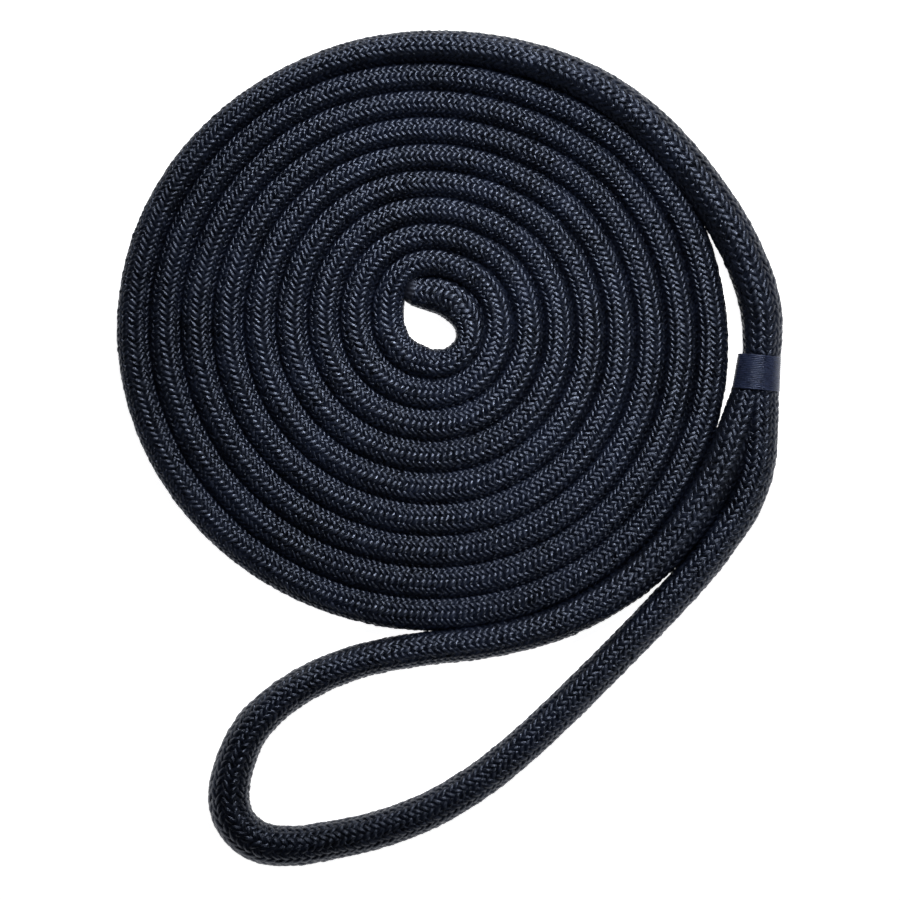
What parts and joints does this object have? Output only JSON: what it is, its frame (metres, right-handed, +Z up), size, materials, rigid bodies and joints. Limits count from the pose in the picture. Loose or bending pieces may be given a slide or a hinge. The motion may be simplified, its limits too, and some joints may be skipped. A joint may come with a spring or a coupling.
{
  "type": "coiled dock line",
  "caption": "Braided mooring rope laid flat in a tight spiral coil, with a whipped splice and a soft eye that drops over a cleat or post.",
  "frame": {"origin": "on the floor below the middle of the whole line's box", "axes": "+Z up from the floor the line lies on; +Y from the eye's crown towards the far side of the coil; the coil winds outwards clockwise seen from +Z"},
  "size_m": [0.2899, 0.3661, 0.0175],
  "materials": {
    "rope_cover": "braided nylon, black with a navy cast",
    "rope_core": "braided nylon, inside the cover",
    "whipping_twine": "tight turns of waxed navy twine",
    "melted_nylon": "nylon melted to a hard tip"
  },
  "bodies": {
    "root": {"coil": "rope_cover", "sealed_end": "melted_nylon", "lead_cover": "rope_cover", "taper_cover": "rope_cover", "splice_cover": "rope_cover", "outer_leg_cover": "rope_cover", "crown_cover": "rope_cover", "inner_leg_cover": "rope_cover", "lead_core": "rope_core", "taper_core": "rope_core", "splice_core": "rope_core", "outer_leg_core": "rope_core", "crown_core": "rope_core", "inner_leg_core": "rope_core", "throat": "rope_cover", "throat_whipping": "whipping_twine"}
  },
  "joints": []
}
